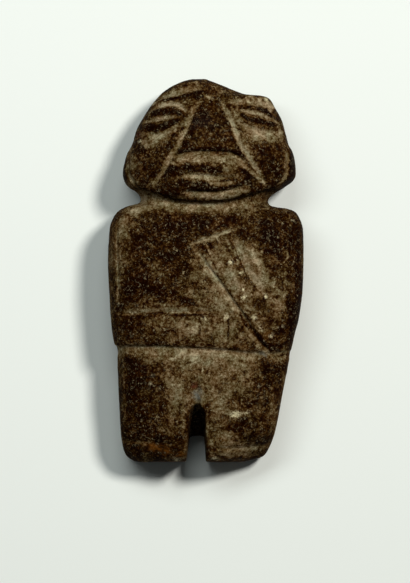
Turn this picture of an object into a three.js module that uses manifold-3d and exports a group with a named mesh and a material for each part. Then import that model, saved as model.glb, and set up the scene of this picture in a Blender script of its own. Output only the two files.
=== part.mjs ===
// A small standing figure carved from one piece of dark stone, lying on its back.
//
// Millimetres. +Y runs from the soles to the crown, +X towards the figure's left arm, and +Z from the
// back up to the face. The back rests on Z = 0, and the origin is under the middle of the outline.
//
// The figure is made as the carver made it: a rounded blank first, then the grooves and the cut
// between the legs, each taken out of the blank.
import * as THREE from "three";
import { mergeVertices } from "three/addons/utils/BufferGeometryUtils.js";
import Module from "manifold-3d";

const wasm = await Module();
wasm.setup();

// ---------------------------------------------------------------- driving dimensions

const LENGTH = 120; // crown to soles
const WIDTH = 61.4; // across the elbows
const EDGE_HEIGHT = 12; // height of the widest contour above the back
const AROUND = 32; // sides of the blank's cross-section
const STEEPEST = 0.98; // share of the half width beyond which the front counts as the side
const WELD = 1e-4; // vertices closer than this are one

const GROOVE_FLOOR = 0.16; // half width of a groove's floor, as a share of its narrower side
const GROOVE_ABOVE = 1.2; // how far a groove's cutter stands above the surface
const GROOVE_SPREAD = 1.2; // how much wider the cutter is up there
const GROOVE_TIP = 0.12; // how much of a groove is left at its very end

const CROWN = LENGTH / 2;
const SOLE = -LENGTH / 2;
const RIGHT_ELBOW = -WIDTH / 2; // the figure's right arm is on the -X side
const LEFT_ELBOW = WIDTH / 2;
const EAR = 27.7;
const NECK = 19.5;
const NECK_Y = 22.3;
const SHOULDER_Y = 19.2;
const WAIST_Y = -25.2;

// Cross-sections along the figure: from, to, and how many steps between them.
const BANDS = [
  [CROWN, 52, 7],
  [52, 28, 8],
  [28, 16, 12],
  [16, -21, 8],
  [-21, -29, 5],
  [-29, -51, 5],
  [-51, SOLE, 7],
];

// The outline on the figure's right (-X) side, as [y, x].
const RIGHT_SIDE = [
  [CROWN, -4.5],
  [59.2, -7.2],
  [57.5, -11],
  [55.6, -13.8],
  [53.5, -15.8],
  [48.5, -19.3],
  [43.5, -22],
  [39.5, -23],
  [37, -24.4],
  [34, -25.5],
  [30.5, -26],
  [28, -25.4],
  [26, -23.4],
  [24.4, -20.6],
  [NECK_Y, -NECK],
  [20.9, -20.2],
  [20.3, -24],
  [SHOULDER_Y - 0.4, -27.2],
  [16.5, -29],
  [13, -30.2],
  [4, RIGHT_ELBOW],
  [-11, -30.1],
  [-17, -29.5],
  [-21.5, -28.7],
  [WAIST_Y, -27.1],
  [-28, -27.6],
  [-34, -27.4],
  [-50, -26.2],
  [-55, -25.4],
  [-58, -24.2],
  [SOLE, -21.6],
];

// The outline on the figure's left (+X) side, as [y, x].
const LEFT_SIDE = [
  [CROWN, -0.2],
  [58.5, 3.5],
  [56, 9.6],
  [55.1, 12.6],
  [54.9, 16.8],
  [53.7, 19.6],
  [51, 21.1],
  [47, 23.3],
  [42, 24.8],
  [39, 25.3],
  [37.5, 26.5],
  [33.5, EAR - 0.1],
  [30, EAR],
  [28.2, 26.6],
  [25.8, 23.8],
  [23.4, 20.3],
  [NECK_Y - 0.4, NECK],
  [20.6, 19.9],
  [19.9, 21.6],
  [SHOULDER_Y, 26],
  [18, 28.2],
  [15.8, 29.5],
  [12.7, 30.4],
  [5, LEFT_ELBOW],
  [-6, 30.2],
  [-14, 29.2],
  [-20, 27.8],
  [-34, 24.9],
  [-45, 22.8],
  [-52, 21.2],
  [-56, 19.2],
  [-58.4, 16.9],
  [SOLE, 12.2],
];

// Height of the front along the middle, as [y, z].
const FRONT = [
  [CROWN, 13.6],
  [59.2, 16.2],
  [57.5, 18.6],
  [54, 21.8],
  [48, 24.8],
  [40, 27],
  [33, 28],
  [27, 27.6],
  [24, 26.6],
  [NECK_Y, 25.2],
  [20.5, 23.6],
  [SHOULDER_Y, 23.4],
  [16.5, 24.6],
  [10, 25.8],
  [0, 26.3],
  [-12, 26],
  [-22, 25.3],
  [-26.5, 24.4],
  [-34, 24.2],
  [-44, 22.8],
  [-52, 20.9],
  [-56.5, 18.9],
  [-58.8, 16.6],
  [SOLE, 13.8],
];

// Height of the back along the middle, as [y, z]. Below zero the back is ground off flat.
const BACK = [
  [CROWN, 10.2],
  [59.2, 7.4],
  [57.5, 5],
  [54, 2.6],
  [48, 0.9],
  [38, 0.4],
  [29, 0.9],
  [24.5, 3.6],
  [NECK_Y, 5],
  [20.5, 3.8],
  [17, 0.6],
  [12, -0.8],
  [-40, -0.9],
  [-52, -0.6],
  [-56.5, 1.2],
  [-58.8, 4],
  [SOLE, 7.4],
];

// How square the cross-section is, as [y, exponent]: 2 is an ellipse.
const SQUARENESS = [
  [CROWN, 2.4],
  [50, 2.5],
  [30, 2.7],
  [NECK_Y, 2.7],
  [16, 3.6],
  [-10, 3.8],
  [-28, 3.4],
  [SOLE, 3],
];

// ---------------------------------------------------------------- curves and surfaces

// A smooth function through [place, value] pairs, in falling order of place, that never overshoots them.
function profile(pairs) {
  const slopes = pairs.slice(1).map(([p, v], i) => (v - pairs[i][1]) / (p - pairs[i][0]));
  const tangents = pairs.map((_, i) => {
    const before = slopes[Math.max(i - 1, 0)];
    const after = slopes[Math.min(i, slopes.length - 1)];
    return before * after <= 0 ? 0 : (2 * before * after) / (before + after);
  });
  return (place) => {
    const found = pairs.findIndex(([p]) => p <= place);
    const i = found < 0 ? slopes.length - 1 : Math.max(found - 1, 0);
    const [p0, v0] = pairs[i];
    const [p1, v1] = pairs[i + 1];
    const t = THREE.MathUtils.clamp((place - p0) / (p1 - p0), 0, 1);
    const ease = t * t * (3 - 2 * t);
    const bend = (p1 - p0) * (t * (1 - t) ** 2 * tangents[i] - t * t * (1 - t) * tangents[i + 1]);
    return v0 + (v1 - v0) * ease + bend;
  };
}

const rightSide = profile(RIGHT_SIDE);
const leftSide = profile(LEFT_SIDE);
const front = profile(FRONT);
const back = profile(BACK);
const squareness = profile(SQUARENESS);

// The cross-section at y: its middle, half width, and the front and back heights.
function section(y) {
  const middle = (leftSide(y) + rightSide(y)) / 2;
  const half = (leftSide(y) - rightSide(y)) / 2;
  return { middle, half, top: front(y), bottom: back(y), square: squareness(y) };
}

// Height of the blank's front at (x, y).
function frontHeight(x, y) {
  const { middle, half, top, square } = section(y);
  const across = Math.min(Math.abs(x - middle) / half, STEEPEST);
  return EDGE_HEIGHT + (top - EDGE_HEIGHT) * (1 - across ** square) ** (1 / square);
}

// ---------------------------------------------------------------- solids

function solidOf(geometry) {
  geometry.deleteAttribute("normal");
  geometry.deleteAttribute("uv");
  const merged = mergeVertices(geometry, WELD);
  const vertProperties = new Float32Array(merged.attributes.position.array);
  const triVerts = new Uint32Array(merged.index.array);
  return new wasm.Manifold(new wasm.Mesh({ numProp: 3, vertProperties, triVerts }));
}

// Moves every vertex of a geometry to where place(vertex) says.
function reshape(geometry, place) {
  const position = geometry.attributes.position;
  const vertex = new THREE.Vector3();
  for (let i = 0; i < position.count; i++) {
    place(vertex.fromBufferAttribute(position, i));
    position.setXYZ(i, vertex.x, vertex.y, vertex.z);
  }
  return geometry;
}

// The rounded blank: a drum whose rings take the cross-sections, with the back ground flat at Z = 0.
function blank() {
  const stations = BANDS.flatMap(([from, to, steps]) =>
    Array.from({ length: steps }, (_, i) => from + ((to - from) * i) / steps),
  );
  stations.push(SOLE);
  const drum = new THREE.CylinderGeometry(1, 1, 1, AROUND, stations.length - 1);
  return solidOf(
    reshape(drum, (v) => {
      const y = stations[Math.round((0.5 - v.y) * (stations.length - 1))];
      const { middle, half, top, bottom, square } = section(y);
      const rounded = (side) => Math.sign(side) * Math.abs(side) ** (2 / square);
      const rise = v.z > 0 ? top - EDGE_HEIGHT : EDGE_HEIGHT - bottom;
      v.set(middle + half * rounded(v.x), y, Math.max(EDGE_HEIGHT + rise * rounded(v.z), 0));
    }),
  );
}

// How much of a groove's full size is left at a place t along it, when it runs out over a share of it.
function runOut(t, share) {
  if (!share) return 1;
  const quarterTurn = Math.PI / 2;
  return THREE.MathUtils.lerp(GROOVE_TIP, 1, Math.sin(quarterTurn * Math.min(t / share, 1)));
}

// A bar that follows a path over the front, to be cut away. Its floor is `depth` under the surface, and
// its walls open `left` and `right` of the path, so a small width makes a steep wall. It runs out at
// the ends named in `fade`, over a share of its length.
function groove({ path, left, right, depth, steps = 6, fade = [0.25, 0.25] }) {
  const floor = GROOVE_FLOOR * Math.min(left, right);
  const outline = new THREE.Shape([
    new THREE.Vector2(-right * GROOVE_SPREAD, GROOVE_ABOVE),
    new THREE.Vector2(-right, 0),
    new THREE.Vector2(-floor, -depth),
    new THREE.Vector2(floor, -depth),
    new THREE.Vector2(left, 0),
    new THREE.Vector2(left * GROOVE_SPREAD, GROOVE_ABOVE),
  ]);
  const bar = new THREE.ExtrudeGeometry(outline, { depth: 1, steps, bevelEnabled: false });
  const curve = new THREE.CatmullRomCurve3(path.map(([x, y]) => new THREE.Vector3(x, y, 0)));
  return solidOf(
    reshape(bar, (v) => {
      const along = THREE.MathUtils.clamp(v.z, 0, 1);
      const middle = curve.getPointAt(along);
      const ahead = curve.getTangentAt(along);
      const size = runOut(along, fade[0]) * runOut(1 - along, fade[1]);
      const x = middle.x - ahead.y * v.x * size;
      const y = middle.y + ahead.x * v.x * size;
      const lift = v.y > 0 ? v.y : v.y * size;
      v.set(x, y, frontHeight(x, y) + lift);
    }),
  );
}

// The cut between the legs: an arch open at the soles and sawn from both faces, so that it is narrowest
// half way through. Its head slopes, and reaches higher up the front than up the back.
function legCut({ x, lean, headFront, headBack, rise, halfHead, halfSole, flare, from, to, steps }) {
  const arch = new THREE.Shape();
  arch.moveTo(-1, -1);
  arch.lineTo(1, -1);
  arch.lineTo(1, 0);
  arch.absarc(0, 0, 1, 0, Math.PI);
  const bar = new THREE.ExtrudeGeometry(arch, { depth: 1, steps, curveSegments: 5, bevelEnabled: false });
  const end = 2 * SOLE - headFront;
  return solidOf(
    reshape(bar, (v) => {
      const z = THREE.MathUtils.lerp(from, to, v.z);
      const face = Math.abs(z - EDGE_HEIGHT) / EDGE_HEIGHT;
      const slope = THREE.MathUtils.smoothstep(z, 0, front(headFront));
      const head = THREE.MathUtils.lerp(headBack, headFront, slope);
      const y = v.y < 0 ? end : head + v.y * rise * (1 + face);
      const down = Math.max((head - y) / (head - SOLE), 0);
      const half = THREE.MathUtils.lerp(halfHead, halfSole, down) * (1 + flare * face ** 2);
      v.set(x + lean * down + half * v.x, y, z);
    }),
  );
}

// ---------------------------------------------------------------- the carving

// A path is a list of [x, y]. "left" and "right" are as seen when following it.

const HEAD_GROOVES = [
  // under the chin, and the neck below it
  {
    path: [[-21.5, 24.4], [-14.5, 22.9], [-8, 21], [-1.5, 20.5], [5.5, 21], [12.5, 22.8], [20.8, 24.4]],
    left: 0.7,
    right: 3.6,
    depth: 3.6,
    steps: 12,
    fade: [0, 0],
  },
  // the two sides of the nose, from the brow to the jaw
  {
    path: [[-2.3, 53], [-4.8, 47.4], [-8.1, 40.3], [-14, 30.2], [-17.3, 25.4]],
    left: 0.6,
    right: 1.5,
    depth: 1.2,
  },
  {
    path: [[4.1, 54], [8, 45.8], [12.1, 36.8], [15.4, 31.8], [18.9, 26.7]],
    left: 2.2,
    right: 0.6,
    depth: 1.2,
  },
  // under the nose
  {
    path: [[-10.4, 35.4], [-5, 36.7], [0.5, 37.1], [5, 37], [9.5, 36.1], [13.4, 33]],
    left: 0.6,
    right: 3.9,
    depth: 1.5,
    fade: [0.15, 0.15],
  },
  // between the lips, and under the lower lip
  {
    path: [[-10, 29.2], [-4, 29.6], [3, 29], [10.5, 28.6]],
    left: 1.5,
    right: 1.7,
    depth: 1.1,
    fade: [0.5, 0.5],
  },
  { path: [[-7, 24.6], [0, 24.3], [6.5, 24.9], [12.8, 26.8]], left: 0.7, right: 2.2, depth: 1.1 },
  // the eye on the figure's right: brow, slit and lower lid
  { path: [[-16.8, 50.4], [-13.4, 51.9], [-10, 52.4], [-5.2, 48.8]], left: 1, right: 0.8, depth: 0.8 },
  { path: [[-20, 45.7], [-15, 47.4], [-8.8, 48.3]], left: 0.9, right: 0.9, depth: 0.9 },
  { path: [[-19.2, 42.9], [-14.6, 42.3], [-10.6, 44.6], [-5.8, 47.8]], left: 0.9, right: 2.2, depth: 0.9 },
  // the eye on the figure's left
  { path: [[6.4, 53], [12, 53], [17, 52.2], [21, 50.6]], left: 0.9, right: 0.7, depth: 0.8 },
  { path: [[9.6, 50.2], [15, 49.3], [19, 48], [22.8, 45.8]], left: 0.9, right: 0.9, depth: 0.9 },
  { path: [[8.6, 47.6], [12.4, 45.2], [17, 43.6], [23, 43]], left: 0.9, right: 2.4, depth: 0.9 },
  // the band over the brow, and the notch in the crown
  { path: [[-15.4, 53.5], [-9, 55.3], [-0.4, 57.1]], left: 2, right: 0.6, depth: 1 },
  { path: [[-2.8, 59.4], [-2.8, 57]], left: 0.5, right: 0.5, depth: 0.6, steps: 3 },
  // in front of each ear
  { path: [[-24, 37.4], [-24.3, 32.4], [-22, 27.2]], left: 1, right: 1, depth: 0.9 },
  { path: [[25.4, 37], [25.3, 32.4], [22.9, 27.2]], left: 1, right: 1, depth: 0.9 },
];

const ARM_GROOVES = [
  // the figure's right forearm, across the belly: its upper side, the hand's end and the thumb
  {
    path: [[-27.6, -13.8], [-22, -13.6], [-12, -13.3], [-2, -13.2], [4, -13.2]],
    left: 2.4,
    right: 0.6,
    depth: 1.3,
    fade: [0.15, 0.2],
  },
  { path: [[7.6, -12.6], [7.5, -23.8]], left: 5, right: 0.5, depth: 1.2, steps: 4 },
  { path: [[-2, -14.2], [-2.2, -21.4]], left: 0.6, right: 0.6, depth: 0.6, steps: 4 },
  // the outer edge of the right upper arm
  { path: [[-27.8, 17], [-27.9, 6], [-27.5, -3], [-27.7, -11.5]], left: 0.7, right: 0.7, depth: 0.5 },
  // the figure's left forearm, rising across the chest: its lower side, its upper side and the fingertips
  {
    path: [[-4.8, 8.8], [-1, 3.6], [3.2, -2.6], [8.2, -9.4], [12.4, -15.4], [17, -22.4], [19.2, -24.8]],
    left: 0.6,
    right: 3,
    depth: 1.5,
    steps: 8,
    fade: [0.3, 0],
  },
  {
    path: [[8, 12], [11.4, 4.4], [14.4, -1.6], [20.6, -9.6]],
    left: 5.5,
    right: 0.6,
    depth: 1.2,
    fade: [0.25, 0.5],
  },
  { path: [[-5.4, 8], [0.2, 10.2], [6, 12.5], [13, 14.4]], left: 0.9, right: 0.6, depth: 1 },
  { path: [[-0.3, 9], [2, 3.4]], left: 0.5, right: 0.5, depth: 0.6, steps: 3 },
  { path: [[3.2, 10.6], [4.6, 7.2]], left: 0.5, right: 0.5, depth: 0.6, steps: 3 },
  { path: [[5.6, 11.2], [8.4, 5.4]], left: 0.5, right: 0.5, depth: 0.6, steps: 3 },
];

const LEG_GROOVES = [
  // under the forearm and the left elbow
  {
    path: [[-31.5, -24.4], [-20, -24.2], [-4, -24.5], [6, -25], [18, -26], [29.5, -25.4]],
    left: 0.7,
    right: 2.7,
    depth: 1.8,
    steps: 10,
    fade: [0, 0.12],
  },
  // above the cut between the legs
  { path: [[-2.6, -31.5], [-2.8, -43]], left: 1.9, right: 1.9, depth: 1.6, steps: 4, fade: [0.9, 0] },
  // above each foot
  { path: [[-27, -53.4], [-15, -54], [-6.4, -54.6]], left: 1.2, right: 1.2, depth: 0.7, fade: [0, 0.2] },
  { path: [[0.6, -55.4], [9, -55.8], [21.4, -54.6]], left: 1.2, right: 1.2, depth: 0.7, fade: [0.2, 0] },
];

const LEG_CUT = {
  x: -2.8,
  lean: -0.6,
  headFront: -43.4,
  headBack: -51.5,
  rise: 1.6,
  halfHead: 1.6,
  halfSole: 2.8,
  flare: 0.62,
  from: -3,
  to: 30,
  steps: 7,
};

// ---------------------------------------------------------------- the figure

const cuts = [
  ...[...HEAD_GROOVES, ...ARM_GROOVES, ...LEG_GROOVES].map(groove),
  legCut(LEG_CUT),
];
const carved = cuts.reduce((stone, cut) => stone.subtract(cut), blank());

const surface = carved.getMesh();
const geometry = new THREE.BufferGeometry()
  .setAttribute("position", new THREE.BufferAttribute(surface.vertProperties, surface.numProp))
  .setIndex(new THREE.BufferAttribute(surface.triVerts, 1))
  .toNonIndexed();
geometry.computeVertexNormals();

const stone = new THREE.MeshStandardMaterial({ color: 0x3b2a1b, roughness: 0.55, metalness: 0 });
const figure = new THREE.Mesh(geometry, stone);
figure.name = "stone_figure";

const part = new THREE.Group();
part.add(figure);

export default part;
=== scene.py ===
import math
import random

import bmesh
import bpy
import numpy as np
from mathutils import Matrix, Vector, kdtree, noise


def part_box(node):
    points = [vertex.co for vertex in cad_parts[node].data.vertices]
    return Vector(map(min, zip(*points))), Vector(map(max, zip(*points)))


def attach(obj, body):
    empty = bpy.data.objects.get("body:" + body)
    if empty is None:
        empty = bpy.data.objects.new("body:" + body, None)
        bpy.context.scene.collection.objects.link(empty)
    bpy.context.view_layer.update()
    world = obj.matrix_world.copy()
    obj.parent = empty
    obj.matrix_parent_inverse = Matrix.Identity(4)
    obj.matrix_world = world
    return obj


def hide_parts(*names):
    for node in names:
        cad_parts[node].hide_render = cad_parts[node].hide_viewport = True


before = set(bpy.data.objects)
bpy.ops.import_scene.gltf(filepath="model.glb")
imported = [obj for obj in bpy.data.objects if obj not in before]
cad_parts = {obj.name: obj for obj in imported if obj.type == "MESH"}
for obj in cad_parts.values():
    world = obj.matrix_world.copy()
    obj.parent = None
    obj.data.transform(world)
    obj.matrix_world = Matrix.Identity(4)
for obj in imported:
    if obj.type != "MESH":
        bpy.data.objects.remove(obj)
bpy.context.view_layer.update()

low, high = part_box("stone_figure")
mm = (high.y - low.y) / 120  # the shaping below is in millimetres of the carved figure
print("frame loaded, one millimetre is", mm)

# the rounded blank: outlines and profiles are (y, value) pairs from the crown down to the soles
blank = {
    "crown": 60,
    "sole": -60,
    "edge": [(60, 12), (-48, 12), (-60, 9)],  # height of the widest contour
    "around": 220,
    "rings": 300,
    "voxel": 0.3,
    "rightSide": [
        (60, -4.5), (59.2, -7.2), (57.5, -11), (55.6, -13.8), (53.5, -15.8), (48.5, -19.3), (43.5, -22),
        (39.5, -23.1), (37, -24.5), (34, -25.5), (30.5, -26.1), (28, -25.6), (26, -24.1), (24.4, -21.7),
        (22.3, -20.4), (20.9, -20.9), (20.3, -24.2), (18.8, -27.2), (16.5, -29), (13, -30.2), (4, -30.6),
        (-11, -30.1), (-17, -29.6), (-21.5, -29), (-25.2, -28), (-28, -27.7), (-34, -27.5),
        (-50, -26.7), (-55, -26.1), (-58, -25), (-60, -22.4),
    ],
    "leftSide": [
        (60, 0), (58.55, 3.6), (56.1, 9.7), (55.15, 12.7), (54.95, 16.9), (53.9, 19.8), (51, 21.6),
        (47, 23.8), (42, 25.1), (39, 25.9), (37.5, 26.9), (33.5, 27.9), (30, 28.1), (28.2, 27.4),
        (25.8, 24.3), (23.4, 20.7), (21.9, 19.5), (20.5, 19.8), (19.9, 21.4), (19.3, 25.6), (18.2, 28.1),
        (15.8, 29.5), (12.7, 30.4), (5, 30.6), (-6, 30.2), (-14, 29.2), (-20, 27.8), (-34, 24.9),
        (-45, 22.8), (-52, 21.3), (-56, 19.7), (-58.4, 17.9), (-60, 11.8),
    ],
    "front": [
        (60, 13.6), (59.2, 16.2), (57.5, 18.6), (54, 21.8), (48, 24.8), (40, 27), (33, 27.9), (27, 27.5),
        (24, 26.6), (22.3, 25.2), (20.5, 23.6), (19.2, 23.4), (16.5, 24.6), (10, 25.8), (0, 26.3),
        (-12, 26), (-22, 25.3), (-26.5, 24.4), (-34, 24.2), (-44, 22.8), (-52, 20.9), (-56.5, 18.9),
        (-58.8, 16.6), (-60, 13.8),
    ],
    "back": [
        (60, 10.2), (59.2, 7.4), (57.5, 5), (54, 2.6), (48, 0.9), (38, 0.4), (29, 0.9), (24.5, 3.6),
        (22.3, 5), (20.5, 3.8), (17, 0.6), (12, -0.8), (-40, -0.9), (-54, -0.8), (-57.5, 0.2),
        (-59.2, 1.6), (-60, 3.6),
    ],
    "squareness": [
        (60, 2.4), (50, 2.5), (30, 2.7), (22.3, 2.7), (16, 3.6), (-10, 3.8), (-28, 3.4), (-60, 3),
    ],
    "ankle": (-50, 10),  # where the feet begin, and over how far they do
    "footWear": [(-9, -5, 0.08), (5, 12, 0.34)],  # the x it starts at, over how far, and how much
    "footRise": (0.05, 13, 9),  # how much, how far from the cut, and over how far it fades
    "underneath": 1.6,  # how much squarer the lower half is
}


def profileCurve(pairs):
    # a smooth curve through the pairs that never overshoots them
    place = np.array([p for p, v in reversed(pairs)], float)
    value = np.array([v for p, v in reversed(pairs)], float)
    slope = np.diff(value) / np.diff(place)
    before, after = slope[:-1], slope[1:]
    turning = before * after <= 0
    inner = np.where(turning, 0, 2 * before * after / np.where(turning, 1, before + after))
    tangent = np.concatenate([slope[:1], inner, slope[-1:]])

    def at(y):
        y = np.clip(y, place[0], place[-1])
        i = np.clip(np.searchsorted(place, y, side="right") - 1, 0, len(slope) - 1)
        step = place[i + 1] - place[i]
        t = (y - place[i]) / step
        bend = step * (t * (1 - t) ** 2 * tangent[i] - t * t * (1 - t) * tangent[i + 1])
        return value[i] + (value[i + 1] - value[i]) * t * t * (3 - 2 * t) + bend

    return at


rightSide, leftSide, frontHeight, backHeight, edgeHeight, squareness = (
    profileCurve(blank[name]) for name in ("rightSide", "leftSide", "front", "back", "edge", "squareness")
)


def softStep(t):
    t = np.clip(t, 0, 1)
    return t * t * (3 - 2 * t)


def readPlaces(mesh):
    co = np.empty(len(mesh.vertices) * 3)
    mesh.vertices.foreach_get("co", co)
    return co.reshape(-1, 3)


def readNormals(mesh):
    flat = np.empty(len(mesh.vertices) * 3)
    mesh.vertex_normals.foreach_get("vector", flat)
    return flat.reshape(-1, 3)


def writePlaces(mesh, co):
    mesh.vertices.foreach_set("co", co.ravel())
    mesh.update()


def newPiece(name, bm):
    mesh = bpy.data.meshes.new(name)
    bm.to_mesh(mesh)
    bm.free()
    piece = bpy.data.objects.new(name, mesh)
    bpy.context.scene.collection.objects.link(piece)
    return piece


def settle(piece):
    # makes the modifiers' result the piece's own mesh
    shaped = bpy.data.meshes.new_from_object(piece.evaluated_get(bpy.context.evaluated_depsgraph_get()))
    piece.modifiers.clear()
    old, piece.data = piece.data, shaped
    bpy.data.meshes.remove(old)


def faceOut(mesh, merge=0):
    bm = bmesh.new()
    bm.from_mesh(mesh)
    if merge:
        bmesh.ops.remove_doubles(bm, verts=bm.verts, dist=merge)
    bmesh.ops.recalc_face_normals(bm, faces=bm.faces)
    bm.to_mesh(mesh)
    bm.free()


def roughOut():
    # a ball stretched so that its rings take the figure's cross-sections
    bm = bmesh.new()
    bmesh.ops.create_uvsphere(bm, u_segments=blank["around"], v_segments=blank["rings"], radius=1)
    piece = newPiece("carvedStone", bm)
    ball = readPlaces(piece.data)
    ring = np.arccos(np.clip(ball[:, 2], -1, 1)) / math.pi * blank["rings"]
    along = np.clip((ring - 1) / (blank["rings"] - 2), 0, 1)
    y = blank["crown"] + (blank["sole"] - blank["crown"]) * along
    pole = (ring < 0.5) | (ring > blank["rings"] - 0.5)
    angle = np.arctan2(ball[:, 1], ball[:, 0])
    left, right = leftSide(y), rightSide(y)
    square = squareness(y) * np.where(ball[:, 1] < 0, blank["underneath"], 1)

    def rounded(side):
        return np.sign(side) * np.abs(side) ** (2 / square) * np.where(pole, 0, 1)

    across, up = rounded(np.cos(angle)), rounded(np.sin(angle))
    edge = edgeHeight(y)
    rise = np.where(up > 0, frontHeight(y) - edge, edge - backHeight(y))
    x = (left + right) / 2 + (left - right) / 2 * across
    z = np.maximum(edge + rise * up, 0)
    # the feet stand up a little beside the cut, and their outer corners are worn lower
    ankle, toes = blank["ankle"]
    amount, reach, fade = blank["footRise"]
    risen = amount * softStep((reach - np.abs(x - legCut["x"])) / fade)
    worn = sum(much * softStep((x - start) / over) for start, over, much in blank["footWear"])
    z *= 1 + softStep((ankle - y) / toes) * (risen - worn)
    writePlaces(piece.data, np.stack([x, y, z], 1))
    faceOut(piece.data)
    return piece


legCut = {
    "x": -2.7,
    "lean": -0.4,
    "headFront": -45,  # the head of the cut slopes: higher up the front than up the back
    "headBack": -52.6,
    "rise": (1.5, 0.4),  # how round the head is, and the least share of that at the back
    "halfHead": 2.0,
    "halfSole": 3.1,
    "flare": 0.3,
    "waist": 12,  # the height at which the cut is narrowest
    "from": -3,
    "to": 31,
}


def sawBetweenLegs(piece):
    # a round bar whose lower half is drawn out past the soles, narrowest half way through
    bm = bmesh.new()
    bmesh.ops.create_cone(bm, cap_ends=True, segments=32, radius1=1, radius2=1, depth=1)
    upright = [e for e in bm.edges if abs(e.verts[0].co.z - e.verts[1].co.z) > 0.5]
    bmesh.ops.subdivide_edges(bm, edges=upright, cuts=16)
    saw = newPiece("legSaw", bm)
    bar = readPlaces(saw.data)
    z = legCut["from"] + (legCut["to"] - legCut["from"]) * (bar[:, 2] + 0.5)
    face = np.abs(z / legCut["waist"] - 1)
    slope = softStep(z / frontHeight(legCut["headFront"]))
    head = legCut["headBack"] + (legCut["headFront"] - legCut["headBack"]) * slope
    end = 2 * blank["sole"] - legCut["headFront"]
    arch = bar[:, 1] > -1e-4
    rise, least = legCut["rise"]
    y = np.where(arch, head + bar[:, 1] * rise * np.maximum(z / legCut["waist"], least), end)
    side = np.where(arch, bar[:, 0], np.sign(bar[:, 0]) * (np.abs(bar[:, 0]) > 0.1))
    down = np.maximum((head - y) / (head - blank["sole"]), 0)
    half = legCut["halfHead"] + (legCut["halfSole"] - legCut["halfHead"]) * down
    half = half * (1 + legCut["flare"] * face**2)
    writePlaces(saw.data, np.stack([legCut["x"] + legCut["lean"] * down + half * side, y, z], 1))
    faceOut(saw.data, 1e-4)
    sawing = piece.modifiers.new("legs", "BOOLEAN")
    sawing.object = saw
    sawing.operation = "DIFFERENCE"
    sawing.solver = "EXACT"
    settle(piece)
    bpy.data.objects.remove(saw)


def evenOut(piece, voxel, rounds):
    # even small faces all over, then a light rub-down
    grid = piece.modifiers.new("grid", "REMESH")
    grid.mode = "VOXEL"
    grid.voxel_size = voxel
    rub = piece.modifiers.new("rub", "SMOOTH")
    rub.factor = 0.5
    rub.iterations = rounds
    settle(piece)


figure = roughOut()
sawBetweenLegs(figure)
evenOut(figure, blank["voxel"], 6)
print("blank shaped:", len(figure.data.vertices), "points")


def cut(path, left, right, depth=0, dust=0, fade=(0.25, 0.25), wraps=False):
    # a cut follows its path over the front; left and right are as seen when following it.
    # a narrow side is a steep wall, a broad one a gentle slope. dust is how pale the cut has become
    return {"path": path, "left": left, "right": right, "depth": depth, "dust": dust,
            "fade": fade, "wraps": wraps}


def line(path, width):
    # a drawn line; its width is one for both sides, or the left one and the right one
    return cut(path, *(width if isinstance(width, tuple) else (width, width)))


headCuts = [
    # under the chin
    cut([(-21.5, 24.4), (-14.5, 22.7), (-8, 20.9), (-1.5, 20.4), (5.5, 20.7), (12.5, 22.3), (20.8, 24.4)],
        left=1.6, right=4.2, depth=2.1, dust=0.75, fade=(0, 0)),
    # the sides of the nose
    cut([(-2.3, 53), (-3.8, 49.1), (-5.1, 45.8), (-6.6, 42.4), (-8, 39.5), (-9.7, 36.6), (-11.7, 33.3),
        (-13.4, 30.3), (-17, 25.6)], left=0.55, right=1.5, depth=1, dust=1, fade=(0.2, 0.12)),
    cut([(4.1, 54), (5.5, 51), (7.5, 46.6), (8.8, 43.2), (10.7, 38.5), (12.2, 36.2), (14.2, 33.2),
        (16.3, 30.3), (18.8, 26.6)], left=1.7, right=0.6, depth=1, dust=0.95, fade=(0.2, 0.15)),
    # under the nose
    cut([(-10.6, 35), (-9, 36), (-5, 36.8), (0.5, 37.1), (5, 37), (9.5, 36), (13.4, 33)], left=0.55,
        right=4.1, depth=1.5, dust=1, fade=(0.1, 0.15)),
    # between the lips
    cut([(-10, 29.3), (-4, 29.7), (3, 29.1), (10.8, 28.6)], left=1.2, right=1.7, depth=1, dust=0.9,
        fade=(0.5, 0.4)),
    # under the lower lip
    cut([(-7.2, 24.4), (0, 24.2), (6.5, 24.7), (13, 26.8)], left=0.7, right=2.4, depth=1.1, dust=0.95,
        fade=(0.12, 0.25)),
    # the eye on the figure's right
    cut([(-17, 50), (-13.6, 51.5), (-10.6, 52), (-8, 51), (-5.6, 48.8)], left=1.1, right=0.9, depth=0.7,
        dust=0.95),
    cut([(-20, 45.9), (-15, 47.4), (-8.8, 48.3)], left=0.9, right=0.7, depth=0.9, dust=0.95,
        fade=(0.15, 0.3)),
    cut([(-19.2, 42.9), (-14.6, 42.3), (-10.6, 44.6), (-5.8, 47.8)], left=0.9, right=2.4, depth=0.8,
        dust=0.85),
    # the eye on the figure's left
    cut([(6.4, 53), (12, 53), (17, 52.2), (21, 50.6)], left=0.9, right=0.7, depth=0.7, dust=0.75),
    cut([(9.6, 50.2), (15, 49.3), (19, 48), (22.8, 45.8)], left=0.9, right=0.9, depth=0.9, dust=0.9),
    cut([(8.6, 47.6), (12.4, 45.2), (17, 43.6), (23, 43)], left=0.9, right=2.6, depth=0.8, dust=0.85),
    # the band over the brow and the notch in the crown
    cut([(-15.6, 53.4), (-9, 55.2), (-0.2, 57.1)], left=2.2, right=0.5, depth=0.9, dust=0.85,
        fade=(0.1, 0.2)),
    cut([(-2.8, 59.6), (-2.8, 57)], left=0.45, right=0.45, depth=0.5, dust=1),
    # in front of the ears
    cut([(-23.6, 38.4), (-24.4, 34), (-24.2, 30), (-21.6, 26.4)], left=1, right=1, depth=0.8, dust=0.6),
    cut([(25.5, 38), (25.5, 34), (25, 30), (22.4, 26.4)], left=0.9, right=0.9, depth=0.8, dust=0.8),
]

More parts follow.
